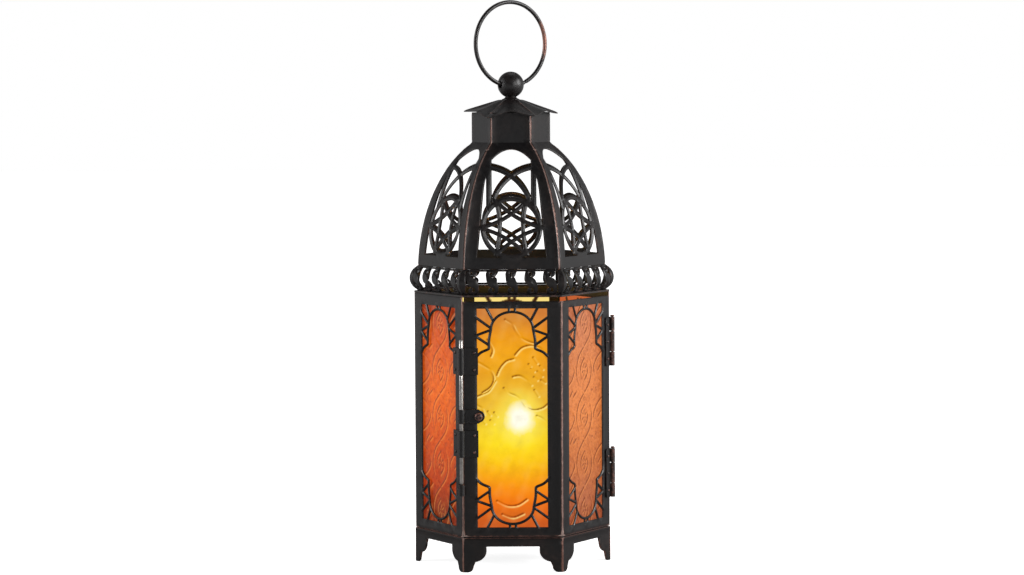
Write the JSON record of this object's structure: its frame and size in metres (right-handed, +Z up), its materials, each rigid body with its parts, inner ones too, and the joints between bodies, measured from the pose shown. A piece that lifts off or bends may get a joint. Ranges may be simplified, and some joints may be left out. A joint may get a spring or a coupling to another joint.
{
  "type": "hexagonal hanging candle lantern",
  "caption": "Hexagonal metal lantern with pressed glass, a pierced dome, a hinged two-panel door with a slide bolt, a candle cup and a ring to hang it by.",
  "frame": {"origin": "centre of the bounding box at ground level, on the lantern's axis", "axes": "+Z up, -Y out through the front wall, +X to the right, at the door's hinges"},
  "size_m": [0.12, 0.1057, 0.3277],
  "materials": {
    "blackened_sheet": "satin black with brown rub-through",
    "rubbed_copper": "satin black rubbed through to copper brown along its edges",
    "worn_black": "satin black, worn brown",
    "plated_steel": "dull plated steel",
    "amber_glass": "pressed, amber",
    "red_glass": "pressed, orange red",
    "wax": "matte wax",
    "charred": "charred cotton"
  },
  "bodies": {
    "lantern_body": {"base_skirt": "rubbed_copper", "floor_pan": "blackened_sheet", "bead_front": "blackened_sheet", "dome_gore_front": "blackened_sheet", "bead_right_front": "blackened_sheet", "dome_gore_right_front": "blackened_sheet", "wall_right_back": "blackened_sheet", "pane_right_back": "red_glass", "bead_right_back": "blackened_sheet", "dome_gore_right_back": "blackened_sheet", "wall_back": "blackened_sheet", "pane_back": "red_glass", "bead_back": "blackened_sheet", "dome_gore_back": "blackened_sheet", "wall_left_back": "blackened_sheet", "pane_left_back": "red_glass", "bead_left_back": "blackened_sheet", "dome_gore_left_back": "blackened_sheet", "wall_left_front": "blackened_sheet", "pane_left_front": "red_glass", "bead_left_front": "blackened_sheet", "dome_gore_left_front": "blackened_sheet", "top_frame": "blackened_sheet", "roof_cap": "blackened_sheet", "finial_ball": "blackened_sheet", "finial_washer": "plated_steel", "finial_nut": "plated_steel", "hinge_leaf_frame_lower": "blackened_sheet", "hinge_pin_lower": "worn_black", "hinge_leaf_frame_upper": "blackened_sheet", "hinge_pin_upper": "worn_black", "bolt_keeper": "blackened_sheet", "candle_cup": "plated_steel", "cup_rivet": "plated_steel"},
    "door": {"door_panel_front": "blackened_sheet", "door_pane_front": "amber_glass", "door_panel_right_front": "blackened_sheet", "door_pane_right_front": "red_glass", "hinge_leaf_door_lower": "blackened_sheet", "bolt_strap_lower": "blackened_sheet", "hinge_leaf_door_upper": "blackened_sheet", "bolt_strap_upper": "blackened_sheet"},
    "bolt": {"bolt_rod": "plated_steel", "bolt_handle": "worn_black"},
    "ring": {"hang_ring": "worn_black"},
    "candle": {"candle": "wax", "wick": "charred"}
  },
  "joints": [
    {"name": "door_swing", "type": "hinge", "parent": "lantern_body", "child": "door", "pos_m": [0.0586, 0, 0.09], "axis": [0, 0, 1], "range_deg": [0, 180]},
    {"name": "bolt_slide", "type": "slide", "parent": "door", "child": "bolt", "axis": [0, 0, 1], "range_m": [-0.0035, 0.015]},
    {"name": "ring_swing", "type": "hinge", "parent": "lantern_body", "child": "ring", "pos_m": [0, 0, 0.2784], "axis": [0.829, 0.5592, 0], "range_deg": [-135, 135]},
    {"name": "candle_lift", "type": "slide", "parent": "lantern_body", "child": "candle", "axis": [0, 0, 1], "range_m": [0, 0.03]}
  ]
}
